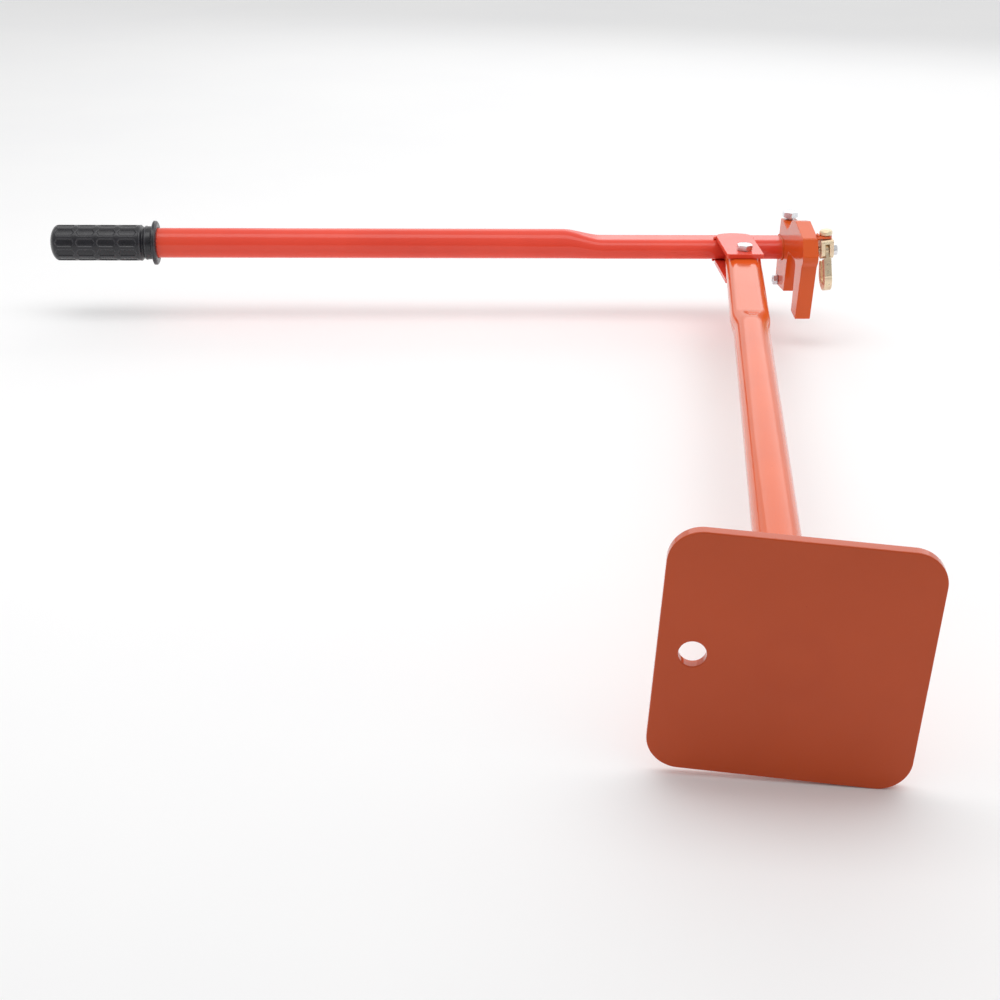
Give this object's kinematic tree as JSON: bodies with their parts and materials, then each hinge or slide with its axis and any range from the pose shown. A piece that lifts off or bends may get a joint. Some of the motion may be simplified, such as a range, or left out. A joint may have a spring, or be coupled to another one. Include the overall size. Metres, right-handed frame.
{
  "type": "lever post puller",
  "caption": "Manual lever puller: square foot plate on a tube leg, pivoting tube lever with rubber grip, slotted jaw plate and a clevis grab hook.",
  "frame": {"origin": "centre of the foot plate's ground face", "axes": "-Y out of the foot plate's ground face, +Y up the leg to the pivot, +Z along the pivot bolt towards its head, +X towards the jaw"},
  "size_m": [1.0473, 1.1653, 0.2068],
  "materials": {
    "orange_paint": "glossy",
    "zinc_plate": "satin",
    "yellow_zinc": "satin",
    "black_rubber": "matte"
  },
  "bodies": {
    "stand": {"foot_plate": "orange_paint", "foot_weld": "orange_paint", "leg_tube": "orange_paint", "pivot_sleeve": "zinc_plate"},
    "lever": {"lever_tube": "orange_paint", "rubber_grip": "black_rubber", "upper_ear": "orange_paint", "lower_ear": "orange_paint", "upper_ear_weld": "orange_paint", "lower_ear_weld": "orange_paint", "pivot_bolt": "zinc_plate", "pivot_washer": "zinc_plate", "pivot_lock_nut": "zinc_plate", "jaw_plate": "orange_paint", "jaw_weld": "orange_paint", "jaw_set_bolt": "zinc_plate", "prong_bolt": "zinc_plate", "prong_nut": "zinc_plate", "hook_lug": "orange_paint"},
    "yoke": {"swivel_pin": "yellow_zinc", "hook_yoke": "yellow_zinc", "hook_pin": "yellow_zinc", "hook_nut": "zinc_plate"},
    "hook": {"grab_hook": "yellow_zinc"}
  },
  "joints": [
    {"name": "lever_pivot", "type": "hinge", "parent": "stand", "child": "lever", "pos_m": [0, 1.0495, 0], "axis": [0, 0, 1], "range_deg": [-35, 80]},
    {"name": "hook_swivel", "type": "hinge", "parent": "lever", "child": "yoke", "pos_m": [0.10153, 1.02456, 0.0485], "axis": [-0.0949, -0.0135, 0.9954], "range_deg": [-7, 3]},
    {"name": "hook_swing", "type": "hinge", "parent": "yoke", "child": "hook", "pos_m": [0.10319, 1.02479, 0.03108], "axis": [0.9855, 0.1403, 0.0958], "range_deg": [-60, 75]}
  ]
}
